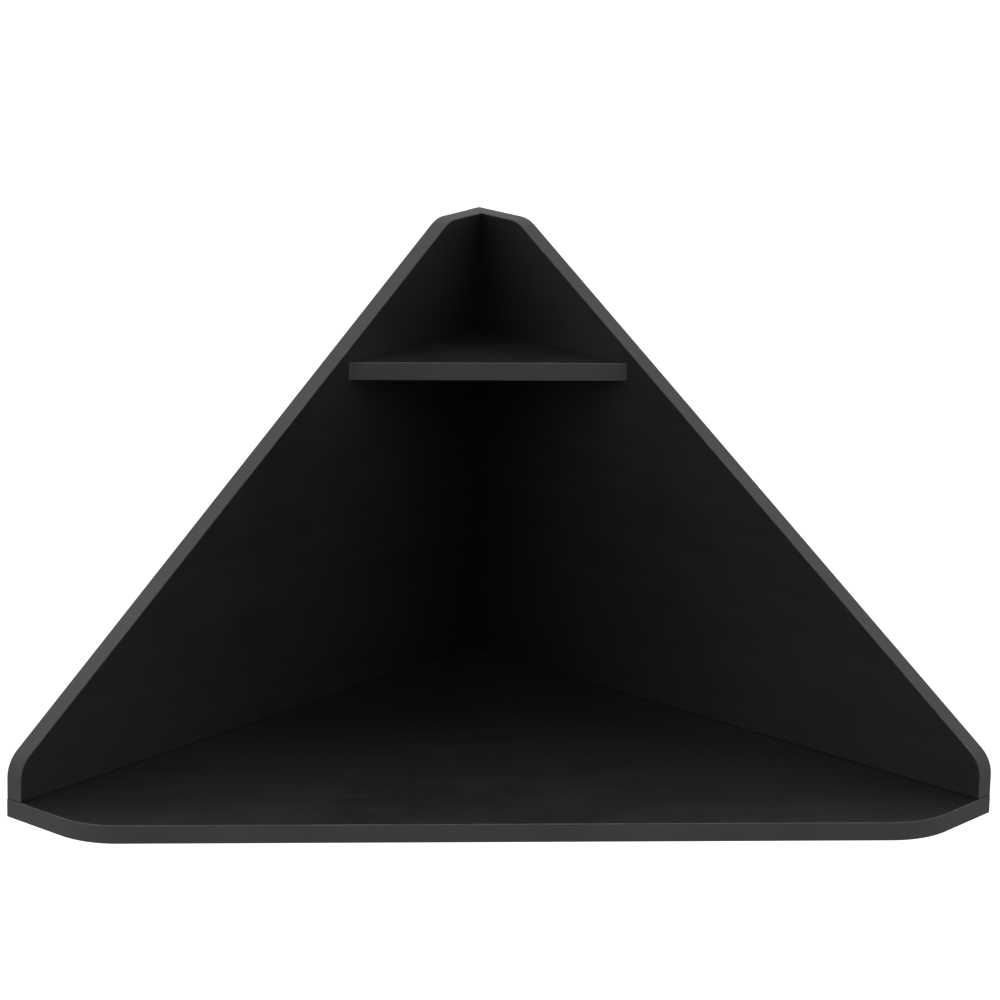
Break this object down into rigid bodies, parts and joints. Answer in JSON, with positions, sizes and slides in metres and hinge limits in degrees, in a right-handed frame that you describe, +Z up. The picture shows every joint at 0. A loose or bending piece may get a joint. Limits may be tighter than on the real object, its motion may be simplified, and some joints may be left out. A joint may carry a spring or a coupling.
{
  "type": "corner desk",
  "caption": "Wall-hung corner desk: a shallow desktop with clipped front corners, two sloping side panels along the walls and a small triangular shelf between them.",
  "frame": {"origin": "the room corner, where the two wall planes meet, at the height of the desktop's underside", "axes": "+Z up, +Y into the room corner, so the user sits on the -Y side; the desk is symmetric about X = 0 apart from the panels' corner joint; the walls run along (-1,-1,0) and (1,-1,0)"},
  "size_m": [0.9292, 0.537, 0.478],
  "materials": {
    "board": "matte black melamine face on chipboard",
    "edge_band": "matte black PVC edge band, slightly lighter than the faces",
    "zinc_screw": "bright zinc plated",
    "hanger_steel": "zinc-plated pressed steel",
    "dowel_wood": "bare beech"
  },
  "bodies": {
    "root": {"corner_dowels": "dowel_wood", "corner_screws": "zinc_screw", "desktop": "board", "desktop_front_band": "edge_band", "desktop_left_wall_band": "edge_band", "desktop_right_wall_band": "edge_band", "left_desktop_dowels": "dowel_wood", "left_desktop_screws": "zinc_screw", "left_front_hanger": "hanger_steel", "left_hanger_screws": "zinc_screw", "left_panel": "board", "left_panel_band": "edge_band", "left_shelf_dowels": "dowel_wood", "left_shelf_screws": "zinc_screw", "left_upper_hanger": "hanger_steel", "right_desktop_dowels": "dowel_wood", "right_desktop_screws": "zinc_screw", "right_front_hanger": "hanger_steel", "right_hanger_screws": "zinc_screw", "right_panel": "board", "right_panel_band": "edge_band", "right_panel_wall_band": "edge_band", "right_shelf_dowels": "dowel_wood", "right_shelf_screws": "zinc_screw", "right_upper_hanger": "hanger_steel", "shelf": "board", "shelf_band": "edge_band"}
  },
  "joints": []
}
